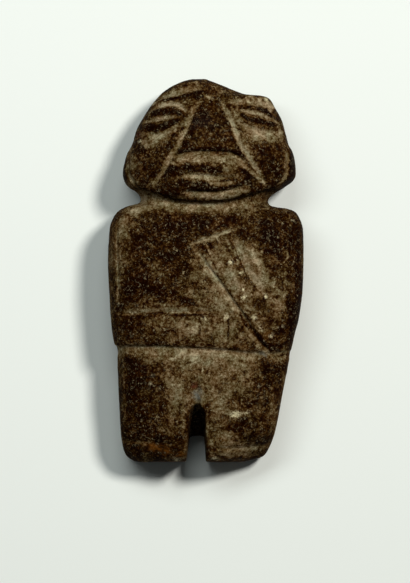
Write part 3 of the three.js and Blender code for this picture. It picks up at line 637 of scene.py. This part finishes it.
# tones drawn along the carving: the path, the width and the amount; some are painted shade along steps in
# shadow and some painted light easing it
strokes = [
    # lids, slits and brow of the figure's right eye
    ([(-16.6, 50.6), (-13, 52), (-10.6, 52.2), (-8.4, 51.4), (-5.8, 49.4)], 0.8, 0.5),
    ([(-15, 42), (-12, 43), (-9.4, 44.7), (-6.6, 47.2)], 0.7, 0.26),
    ([(-10, 41.8), (-7.9, 45)], 0.3, -0.2),
    ([(-6, 49), (-3.4, 51), (-0.4, 54.2)], 0.8, 0.3),
    ([(-17.4, 48.6), (-14, 49.7), (-10.4, 49.7), (-7.4, 48.8)], 1, -0.5),
    ([(-19, 46.2), (-14, 47.3), (-9.2, 48.1)], 0.7, 0.36),
    ([(-19.4, 44.4), (-16, 44.2), (-12, 45.4), (-7.8, 47.2)], (0.9, 1), -0.5),
    ([(-15.2, 53.8), (-12, 54.4), (-5, 56.3), (-0.6, 57.6)], (1.4, 0.7), 0.36),
    ([(-15, 52.9), (-10, 54), (-4, 55.3), (0, 56.2)], (0.25, 0.6), -0.3),
    # the figure's left eye
    ([(6.3, 52), (10, 51.1), (13, 51.1), (17, 50.4), (20, 48.9), (22.5, 46.5)], (0.55, 0.7), -0.32),
    ([(10.6, 49.9), (15, 49.2), (19, 47.9), (22.6, 45.9)], 0.7, 0.34),
    ([(10.3, 49), (12, 48.1), (13.6, 47.3), (17, 46.6), (20, 45.9), (23, 45.3)], (0.7, 0.8), -0.45),
    ([(13, 44.6), (16, 43.2), (22, 42.2)], (1, 1.4), 0.2),
    ([(9, 46.4), (11.2, 44.6)], 0.4, -0.3),
    ([(10.6, 42.8), (10.9, 41.2)], 0.4, -0.25),
    # grooves and edges of the nose
    ([(-2.6, 51.6), (-4.1, 48.9), (-5.4, 45.8), (-6.9, 42.4), (-8.3, 39.5), (-10, 36.6), (-12, 33.2),
     (-13.6, 30.3), (-17, 25.8)], (0.5, 1.2), 0.5),
    ([(4.8, 53), (6.3, 50), (8, 46.6), (9.2, 43.2), (11.1, 38.5), (12.6, 36.2), (14.6, 33.2),
     (16.6, 30.3), (18.6, 26.8)], (1.1, 0.7), 0.46),
    ([(9.6, 33.6), (12.6, 32), (15.4, 29.6), (18.6, 26.6)], (0.6, 0.7), 0.4),
    # painted shade on the nose's wall turned away from the light
    ([(-3, 48.6), (-4.8, 44.6), (-6.8, 40), (-8.4, 37.4)], (1.6, 0.1), -0.3),
    # painted shade along the step under the nose
    ([(-9.4, 36.8), (-4, 37.5), (3, 37.5), (8, 37), (11.8, 35.4), (13.6, 33.4)], (0.9, 0.4), -0.5),
    ([(5.2, 50), (7, 45.6), (9.4, 39.6), (11.6, 36)], (0.1, 0.9), -0.2),
    # lips
    ([(-9.6, 34.4), (-5, 35), (3, 35), (8, 34.4), (11, 33), (13, 31.4)], (1.4, 1.5), 0.44),
    ([(-14, 30.2), (-10, 32), (-4, 32), (2, 31.9), (5.4, 31.9)], (0.9, 1.1), -0.3),
    ([(9, 32.2), (11.5, 31.1), (13.4, 29.6), (13, 28.2), (11, 27.1)], 0.7, -0.3),
    ([(-6, 30.9), (2, 30.9), (6, 30.7)], 0.3, -0.3),
    ([(-8.6, 29.2), (-4, 29.4), (1, 29.1), (5, 29.3), (9.6, 29.4)], (1.1, 0.9), 0.3),
    ([(-9, 27.8), (-3, 26.8), (1.2, 26.7)], (0.9, 1.3), -0.28),
    ([(1.6, 28.4), (4, 27), (9, 27.4)], 0.9, 0.34),
    ([(-7, 25.3), (-3, 25.2), (3, 25.3), (8, 26.1), (12, 27.3)], (0.5, 0.4), -0.42),
    ([(4, 28), (7, 28.1), (10, 28.4)], 0.3, -0.36),
    ([(-6, 24), (0, 23.6), (6, 23.8), (11.6, 25.2)], (0.9, 1.2), 0.42),
    # chin
    ([(-15, 24), (-9, 21.7), (-3, 21.2), (3, 21.2), (8, 21.9), (14, 24), (19, 24.9)], (0.6, 0.3), -0.16),
    # painted light easing the shade under the chin
    ([(-14, 20.9), (-6, 20.5), (4, 20.5), (9, 21)], (0.8, 0.7), 0.3),
    # ears
    # painted shade on the outer side of the ear on the figure's left
    ([(26.8, 37.8), (27, 33), (26.2, 28.4), (23.8, 26)], (1.1, 1), -0.4),
    ([(25.2, 38), (25, 32), (24, 28)], 0.5, 0.2),
    ([(-25.3, 37), (-25.8, 31), (-24.6, 27)], (0.4, 0.7), -0.36),
    # the hand and the diagonal forearm
    ([(-5.2, 8.1), (-3, 8.7), (0.2, 9.9), (6, 11.9), (9.6, 13.1)], (0.7, 0.8), 0.4),
    ([(-4.6, 8.4), (-1.4, 3.8), (2.6, -2), (6, -7), (9, -12.4)], (0.4, 1.1), 0.26),
    ([(-1.6, 8.6), (0.4, 5.4), (2.8, 1), (4.2, -3), (6.4, -6.2), (9.2, -9.8), (10.4, -11.6)], (0.45, 0.2),
     -0.2),
    ([(0.8, 8.6), (2.4, 6.6)], 0.9, -0.3),
    ([(2.9, 10.2), (3.6, 8)], 0.35, -0.3),
    ([(7.3, 11.2), (8.1, 9.4), (9.3, 6), (11, 2), (13.2, -2), (15.8, -5.6)], (0.3, 0.4), -0.3),
    ([(8.6, 10.6), (10.6, 5.4), (13.2, 0.4), (16.4, -4.4), (19.6, -8.4)], (1.2, 0.2), 0.2),
    ([(-18.3, 9), (-18.4, -8)], 0.35, -0.26),
    ([(1, 22.3), (7, 22.8), (12, 24.1)], (0.5, 0.6), 0.4),
    ([(-4, 10.6), (0, 11.6), (5, 13.8), (9, 14.8)], (0.7, 0.3), -0.2),
    # painted shade along the step under the figure's left forearm and elbow
    ([(11, -14.8), (12.7, -16.8), (14.7, -18.8), (16.6, -20.8), (18.4, -22.9), (20.6, -24.2), (23.2, -24),
     (25.4, -22)], 0.9, -0.5),
    ([(9.5, -10.6), (12.8, -13.4), (14.8, -15)], 0.5, 0.2),
    # the forearm across the belly
    ([(-25.4, -13.4), (-20, -12.6), (-12, -12.2), (2, -12.3)], (0.7, 0.9), 0.26),
    ([(-22, -13.6), (-15, -13.5), (-8, -13.8), (3, -13.8)], 0.4, -0.3),
    ([(-19, -10.4), (-14, -10.5), (-9, -10.8)], (0.6, 0.5), 0.2),
    ([(-7, -7.6), (-4, -8.2), (-1, -8.4)], 0.7, 0.3),
    ([(7, -15), (7, -22)], 0.35, -0.5),
    ([(8.4, -15), (8.3, -23)], (0.7, 0.3), 0.24),
    ([(-2, -14.5), (-2, -20.5)], 0.4, -0.34),
    # the pale dust of the waist groove, and painted light easing the shade in it
    ([(-26, -23.7), (-10, -24), (4, -24.5), (10, -25.3), (16, -25.8)], 0.6, 0.2),
    # a thin pale line, and painted light easing the shade the forearm casts into its groove
    ([(-2, 5.4), (1.8, 0), (3.4, -2.2), (6.6, -6.8), (10, -11.8), (13.4, -16.6)], (0.5, 0.7), 0.36),
    # rim of the right arm, the thighs
    ([(29.3, 12), (29.4, 0), (28.6, -12), (26.6, -24)], (0.4, 1.6), -0.18),
    ([(-25.6, -28), (-25.6, -50)], 0.6, 0.14),
    ([(17.4, -27), (18.6, -29), (19.6, -31.6)], 1.2, -0.24),
    ([(-6, -52), (-6.4, -58)], 0.5, 0.2),
    ([(-24, -53.6), (-19, -54)], 0.8, 0.2),
    ([(-29.4, 17), (-29.8, 8), (-29.8, -5)], 0.8, 0.2),
    # more painted light easing the shade under the chin
    ([(-12, 21.6), (-6, 21), (0, 21.1), (6, 21.8), (12, 23.2)], 0.6, 0.22),
    ([(2, -18.6), (3.4, -22.8)], 0.7, 0.3),
    ([(-2.5, -31), (-2, -35.2)], 0.5, 0.36),
    ([(10.4, -10.4), (13.8, -14.8)], 0.5, 0.24),
]
rustPatches = [
    (-15.5, -55.4, 5.4, 2.2, 0.85, -12), (-12.4, -56.8, 3, 1.8, 0.8), (-8.4, -57.6, 2.6, 1.4, 0.75),
    (5, -52.6, 4, 1.6, 0.3), (2.6, -41.6, 2.6, 4, 0.28, 10), (19.8, -20.2, 2.6, 2, 0.45),
    (16.6, -17.8, 1.4, 2.4, 0.5, 20), (12, -24, 4, 1.4, 0.25), (11, 1, 1.2, 2.4, 0.3, 30),
    (8.4, 30.6, 3, 1.8, 0.2),
]
redPatches = [
    (-3.4, -35.8, 1.9, 1.2, 1), (-21.1, 42.1, 1.7, 1.8, 0.75), (9, -3.6, 1.6, 1.2, 0.25),
    (2.6, -29, 2, 1.4, 0.2), (-19, 33, 3, 5, 0.12), (-20, -30, 5, 5, 0.14),
]
bluePatches = [
    (-2.9, -38.8, 2.8, 2.8, 1), (17.6, -26, 2.4, 1.4, 0.8), (-1, 46, 6, 3, 0.12),
]
# single pale crystals and chips
brightSpots = [
    (9.2, -45, 2.7, 1.7, 1, 8), (12.8, -44.4, 2.6, 0.8, 0.5, 20), (7.7, 2.5, 1.5, 1, 1, 10),
    (9.8, 3.3, 0.6, 0.6, 0.6), (11, -0.8, 1.2, 0.9, 0.7), (11.6, -6, 0.8, 0.8, 0.9),
    (12, -8.4, 1.7, 1.1, 0.8, 20), (18.7, -8, 1, 1.5, 0.8), (15, -14.8, 1.4, 1.2, 0.9),
    (6.2, -14.7, 1, 1.2, 1), (-0.6, -15, 1.4, 1.1, 0.7), (20.4, -20.4, 1.4, 1.1, 0.6),
    (17, -18, 1.3, 2.2, 0.5, 20), (24, -17.4, 0.8, 0.7, 0.6), (-9, -59.2, 2.2, 1.1, 0.7),
    (2.6, -58.8, 1.7, 0.9, 0.7), (19, 53.6, 1.2, 1.4, 0.8), (13.4, 52.6, 2, 0.6, 0.6, -10),
    (-20.6, 40.4, 1.3, 0.9, 0.7, 30), (27, 15.6, 1, 0.7, 0.6), (-1, -31.2, 0.6, 1.6, 0.5),
    (16.5, -36.2, 1.2, 0.7, 0.5, 30), (5.2, 24, 0.8, 1.2, 0.5), (-5.8, 24.6, 0.6, 1, 0.6),
    (9, 35.2, 0.7, 1.2, 0.5), (-22.8, -13.2, 2.4, 0.8, 0.45), (-16.6, -33, 1.2, 0.8, 0.5, 20),
    (-17.4, -35.4, 0.8, 1, 0.5), (-21.5, -11, 0.7, 0.7, 0.4), (-27.4, -10.6, 0.8, 1.2, 0.5),
]
# fine pale scratches: the path, half the width, and how pale
scratches = [
    ([(22.8, 10.6), (24, 7.2), (25.4, 5.2), (25.1, 3.4), (23.2, 2.3), (20.8, 4.2), (18.6, 6)], 0.35, 0.7),
    ([(21, -4), (22.8, -6.4), (25, -8.4)], 0.3, 0.6),
    ([(18.4, -6.4), (21.6, -10.6)], 0.3, 0.6),
    ([(25.6, 17), (25.5, 6)], 0.3, 0.4),
    ([(-12.2, -42), (-10.6, -44), (-9.4, -46)], 0.4, 0.6),
    ([(-22, -43.6), (-20.6, -42.2), (-18, -41.4)], 0.4, 0.5),
    ([(-17.4, -42), (-15.6, -44.4), (-15, -47)], 0.35, 0.4),
    ([(-27.6, 17.6), (-24.4, 13.8), (-22.6, 14.8)], 0.3, 0.45),
    ([(-25.6, 18), (-23, 15.6), (-20.6, 13.4)], 0.3, 0.4),
    ([(-28.4, -8.6), (-27.2, -10.4), (-26.6, -12.4)], 0.35, 0.6),
    ([(16, 0.6), (18.6, -1), (20.4, -4.6)], 0.4, 0.5),
    ([(19, 1.6), (20.4, -0.6), (22.4, -1.8)], 0.4, 0.5),
]


# dust, wear and the painted shade inside the leg cut
wearAndShade = {
    "plain": 0.3,
    "groove": 0.38,
    "wander": [(1.1, 0.55, 3.1, 9.4), (0.35, 1.9, 5.9, 12.3)],  # how far, waves per mm, and two shifts
    "wobble": (0.3, 1.3, 6.7),
    "strokeSpread": 1.25,
    "slotShade": (-2.9, 2.9, 21),  # painted shade inside the leg cut, where light hardly reaches: its x, half its width and its top
    # how dark the painted shade inside the leg cut is
    "slotShadeStrength": 0.8,
}


def mapPatches(x, y, patches, together=np.maximum):
    total = np.zeros(len(x))
    for patch in patches:
        total = together(total, patch[4] * patchShare(x, y, patch))
    return total


def storeMap(mesh, name, values):
    layer = mesh.attributes.new(name, "FLOAT", "POINT")
    layer.data.foreach_set("value", np.clip(values, 0, 1))


def mapWearAndShade(piece):
    # maps dust and polish onto the stone, together with painted light and shade
    co, normal = readPlaces(piece.data), readNormals(piece.data)
    # ragged edges: the places the patches are read at wander a little
    x, y = co[:, 0].copy(), co[:, 1].copy()
    for far, waves, shiftX, shiftY in wearAndShade["wander"]:
        x += far * noiseAt(co, waves, shiftX)
        y += far * noiseAt(co, waves, shiftY)
    wobble = wearAndShade["wobble"][0] * noiseAt(co, *wearAndShade["wobble"][1:])
    front = softStep((normal[:, 2] + 0.1) / 0.4)
    aside = softStep((co[:, 2] - 3) / 6)
    lines, drawn = np.zeros(len(co)), np.zeros(len(co))
    fine = [cut(path, half, half, dust=dust) for path, half, dust in scratches]
    for groove in headCuts + armCuts + legCuts + fine:
        near, share = followCut(co[:, 0], co[:, 1], groove, 1.0, wobble, flat=True)
        where = aside if groove["wraps"] else front
        lines[near] = np.maximum(lines[near], groove["dust"] * share * where[near])
    for path, width, tone in strokes:
        stroke = line(path, width)
        near, share = followCut(co[:, 0], co[:, 1], stroke, wearAndShade["strokeSpread"], wobble, flat=True)
        drawn[near] += tone * share * front[near]
    soft = mapPatches(x, y, patches, np.add) * front
    drawn = np.where(drawn > 0, drawn * (1 - np.clip(lines + 2 * soft, 0, 0.8)), drawn)
    behind = (1 - front) * (0.1 + 0.3 * noiseAt(co, 0.09, 21.7))
    grooves = np.maximum(lines * wearAndShade["groove"] - 0.5 * np.maximum(soft, 0), 0)
    dustAndShade = wearAndShade["plain"] + grooves + soft + drawn + behind
    # painted shade inside the leg cut, weaker close to the table
    middle, half, top = wearAndShade["slotShade"]
    slotShade = (0.3 + 0.7 * softStep(co[:, 2] / 9)) * softStep((half - np.abs(co[:, 0] - middle)) / 0.5)
    slotShade *= (co[:, 1] < legCut["headFront"] + 1) * (co[:, 2] < top)
    storeMap(piece.data, "dustAndShade", dustAndShade * (1 - wearAndShade["slotShadeStrength"] * slotShade))
    for name, spots in (("rust", rustPatches), ("red", redPatches), ("blue", bluePatches)):
        storeMap(piece.data, name, mapPatches(x, y, spots) * front)
    storeMap(piece.data, "bright", mapPatches(co[:, 0], co[:, 1], brightSpots) * front)


mapWearAndShade(figure)
co = readPlaces(figure.data)
writePlaces(figure.data, co * mm + np.array([(low.x + high.x) / 2, (low.y + high.y) / 2, low.z]))
for face in figure.data.polygons:
    face.use_smooth = True
print("wear mapped")


stone = {
    "tones": [
        (0.00, (0.0046, 0.0008, 0.0000)),
        (0.14, (0.0072, 0.0014, 0.0001)),
        (0.27, (0.0136, 0.0038, 0.0004)),
        (0.37, (0.0235, 0.0084, 0.0014)),
        (0.46, (0.0405, 0.0185, 0.0043)),
        (0.56, (0.0740, 0.0425, 0.0145)),
        (0.68, (0.1130, 0.0765, 0.0380)),
        (0.82, (0.1650, 0.1240, 0.0760)),
        (1.00, (0.3000, 0.2450, 0.1650)),
    ],
    "rustColour": (0.15, 0.05, 0.007),
    "redColour": (0.07, 0.02, 0.01),
    "blueColour": (0.115, 0.12, 0.112),
    "fleckColour": (0.23, 0.18, 0.105),
    "brightColour": (0.66, 0.56, 0.36),
    "waves": [(150, 6, 0.62, 1.15), (600, 5, 0.66, 1.0), (1400, 3, 0.6, 1.2), (3000, 2, 0.5, 0.7)],
    "steady": (1.25, -0.5),  # how much the grain varies where there is no dust, and how dust evens it
    "tints": ((1.08, 0.96, 0.9), (0.97, 1.02, 0.97)),  # the brown drifts between red and olive
    "drift": ((230, 3, 0.6), 0.38, 0.62),  # a grain, and the values it fades in between
    "flecks": ((1180, 4, 0.6, 1.2), 0.57, 0.7),
    "fleckField": ((420, 4, 0.6, 0.6), 0.36, 0.58),
    "roughness": (0.46, 0.85),  # where it is polished, and where it is dusty
    "gloss": 0.003,
    "bump": (0.6, 0.00016),
}


def addNode(tree, kind, inputs=None, **settings):
    node = tree.nodes.new(kind)
    for name, value in settings.items():
        setattr(node, name, value)
    for name, value in (inputs or {}).items():
        if isinstance(value, bpy.types.NodeSocket):
            tree.links.new(value, node.inputs[name])
        else:
            node.inputs[name].default_value = value
    return node


def blend(tree, share, first, second, mode="MIX"):
    node = addNode(tree, "ShaderNodeMix", data_type="RGBA", blend_type=mode)
    for socket, value in ((node.inputs[0], share), (node.inputs[6], first), (node.inputs[7], second)):
        if isinstance(value, bpy.types.NodeSocket):
            tree.links.new(value, socket)
        elif isinstance(value, tuple):
            socket.default_value = (*value, 1)
        else:
            socket.default_value = value
    return node.outputs[2]


def compute(tree, operation, first, second=None, third=None):
    node = addNode(tree, "ShaderNodeMath", operation=operation)
    for socket, value in zip(node.inputs, (first, second, third)):
        if isinstance(value, bpy.types.NodeSocket):
            tree.links.new(value, socket)
        elif value is not None:
            socket.default_value = value
    return node.outputs[0]


def makeStone():
    material = bpy.data.materials.new("darkStone")
    material.use_nodes = True
    tree = material.node_tree
    shader = tree.nodes["Principled BSDF"]
    place = addNode(tree, "ShaderNodeTexCoord").outputs["Object"]

    def sums(*parts):
        return compute(tree, *parts)

    def grain(scale, detail, rough=0.6, warp=0):
        look = {"Vector": place, "Scale": scale, "Detail": detail, "Roughness": rough, "Distortion": warp}
        return addNode(tree, "ShaderNodeTexNoise", look).outputs["Fac"]

    def faded(pattern, start, end):
        reach = {"Value": grain(*pattern), "From Min": start, "From Max": end}
        return addNode(tree, "ShaderNodeMapRange", reach).outputs["Result"]

    def mapped(name):
        return addNode(tree, "ShaderNodeAttribute", attribute_name=name).outputs["Fac"]

    # the map holds dust and dark polish, painted shade inside the leg cut, and painted light and shade
    # from some patches and strokes
    dust = mapped("dustAndShade")
    layers = []
    together = 0.0
    for scale, detail, rough, strength in stone["waves"]:
        layers.append(grain(scale, detail, rough, 0.3))
        swing = sums("SUBTRACT", layers[-1], 0.5)
        together = sums("MULTIPLY_ADD", swing, strength, together)
    clouds, patchy, coarse, fine = layers
    varied, evened = stone["steady"]
    steadied = sums("MULTIPLY_ADD", dust, evened, varied)
    level = sums("MULTIPLY_ADD", together, steadied, dust)
    tones = addNode(tree, "ShaderNodeValToRGB", {"Fac": level})
    ramp = tones.color_ramp
    while len(ramp.elements) < len(stone["tones"]):
        ramp.elements.new(0.5)
    for element, (spot, colour) in zip(ramp.elements, stone["tones"]):
        element.position = spot
        element.color = (*colour, 1)
    colour = tones.outputs["Color"]

    tint = blend(tree, faded(*stone["drift"]), *stone["tints"])
    colour = blend(tree, 1.0, colour, tint, "MULTIPLY")

    for name, bite in (("rust", 0.9), ("red", 0.9), ("blue", 0.75)):
        share = sums("MULTIPLY_ADD", sums("SUBTRACT", coarse, 0.42), 3.0, mapped(name))
        share = sums("MULTIPLY", share, mapped(name))
        share = sums("MINIMUM", sums("MAXIMUM", share, 0.0), 1.0)
        colour = blend(tree, sums("MULTIPLY", share, bite), colour, stone[name + "Colour"])

    # pale flecks scattered through the stone, and the single crystals
    flecks = sums("MULTIPLY", faded(*stone["flecks"]), faded(*stone["fleckField"]))
    colour = blend(tree, flecks, colour, stone["fleckColour"])
    spots = sums("MULTIPLY_ADD", sums("SUBTRACT", coarse, 0.5), 4.2, mapped("bright"))
    spots = sums("MULTIPLY_ADD", sums("SUBTRACT", fine, 0.5), 2.4, spots)
    spots = sums("MULTIPLY", sums("MAXIMUM", spots, 0.0), mapped("bright"))
    colour = blend(tree, sums("MINIMUM", spots, 1.0), colour, stone["brightColour"])
    tree.links.new(colour, shader.inputs["Base Color"])

    polished, dusty = stone["roughness"]
    sheen = {"Value": level, "From Min": 0.1, "From Max": 0.8, "To Min": polished, "To Max": dusty}
    gloss = addNode(tree, "ShaderNodeMapRange", sheen)
    tree.links.new(gloss.outputs["Result"], shader.inputs["Roughness"])
    shader.inputs["Specular IOR Level"].default_value = stone["gloss"]

    relief = sums("MULTIPLY_ADD", fine, 0.5, coarse)
    strength, distance = stone["bump"]
    bump = addNode(tree, "ShaderNodeBump", {"Strength": strength, "Distance": distance, "Height": relief})
    tree.links.new(bump.outputs["Normal"], shader.inputs["Normal"])
    return material


figure.data.materials.clear()
figure.data.materials.append(makeStone())
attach(figure, "root")
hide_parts("stone_figure")
print("stone finished")


studio = {
    "table": 0.8,
    "skyColour": (0.9, 1.0, 0.955),
    "skyToward": (-0.182, 0.241, 1.0),  # where the sky is brightest
    "skyLow": 0.0,
    "skyHigh": 0.111,
    "skyRise": 1.761,
    "eyeHeight": 3.0,
    "eyeAt": (-0.0003, -0.0066),
    "outline": 0.012,
    "viewHeight": 0.1827,  # what the camera takes in at the height of the outline
}
# share is how bright each lamp alone makes the table
lamps = {
    "key": {"toward": (0.507, 0.42, 1.0), "distance": 1.664, "size": (0.339, 0.339), "share": 0.568,
            "colour": (0.98, 1.0, 0.91)},
    "fill": {"toward": (-0.246, 0.506, 1.0), "distance": 0.635, "size": (0.53, 0.201), "share": 0.318,
             "colour": (0.9, 1.0, 0.955)},
}


def makeTable():
    bm = bmesh.new()
    bmesh.ops.create_grid(bm, x_segments=2, y_segments=2, size=3)
    table = newPiece("table", bm)
    writePlaces(table.data, readPlaces(table.data) - np.array([0, 0, 0.00002]))
    material = bpy.data.materials.new("tableTop")
    material.use_nodes = True
    shader = material.node_tree.nodes["Principled BSDF"]
    shader.inputs["Base Color"].default_value = (studio["table"],) * 3 + (1,)
    shader.inputs["Roughness"].default_value = 0.8
    shader.inputs["Specular IOR Level"].default_value = 0.1
    table.data.materials.append(material)


def hangLamp(name, plan):
    lamp = bpy.data.lights.new(name, "AREA")
    lamp.shape = "ELLIPSE"
    lamp.size, lamp.size_y = plan["size"]
    lamp.color = plan["colour"]
    toward = Vector(plan["toward"]).normalized()
    lamp.energy = plan["share"] / studio["table"] * (math.pi * plan["distance"]) ** 2 / toward.z
    holder = bpy.data.objects.new(name, lamp)
    holder.location = toward * plan["distance"]
    holder.rotation_mode = "QUATERNION"
    holder.rotation_quaternion = toward.to_track_quat("Z", "Y")
    holder.visible_camera = False
    bpy.context.scene.collection.objects.link(holder)


def makeSky():
    world = bpy.data.worlds.new("studio")
    bpy.context.scene.world = world
    world.use_nodes = True
    tree = world.node_tree
    sky = tree.nodes["Background"]
    sky.inputs["Color"].default_value = (*studio["skyColour"], 1)
    way = addNode(tree, "ShaderNodeTexCoord").outputs["Generated"]
    facing = addNode(tree, "ShaderNodeVectorMath", operation="DOT_PRODUCT")
    tree.links.new(way, facing.inputs[0])
    facing.inputs[1].default_value = Vector(studio["skyToward"]).normalized()
    lit = compute(tree, "MAXIMUM", facing.outputs["Value"], 0.0)
    rise = compute(tree, "POWER", lit, studio["skyRise"])
    strength = compute(tree, "MULTIPLY_ADD", rise, studio["skyHigh"], studio["skyLow"])
    tree.links.new(strength, sky.inputs["Strength"])


def makeCamera():
    eye = bpy.data.cameras.new("eye")
    eye.sensor_width = 36
    distance = studio["eyeHeight"] - studio["outline"]
    eye.lens = eye.sensor_width * distance / studio["viewHeight"]
    eye.clip_start, eye.clip_end = 0.01, 20
    holder = bpy.data.objects.new("eye", eye)
    holder.location = (*studio["eyeAt"], studio["eyeHeight"])
    bpy.context.scene.collection.objects.link(holder)
    bpy.context.scene.camera = holder


makeTable()
makeSky()
for lampName, lampPlan in lamps.items():
    hangLamp(lampName, lampPlan)
makeCamera()
bpy.context.scene.view_settings.view_transform = "Standard"
bpy.context.scene.view_settings.look = "None"
print("studio set")
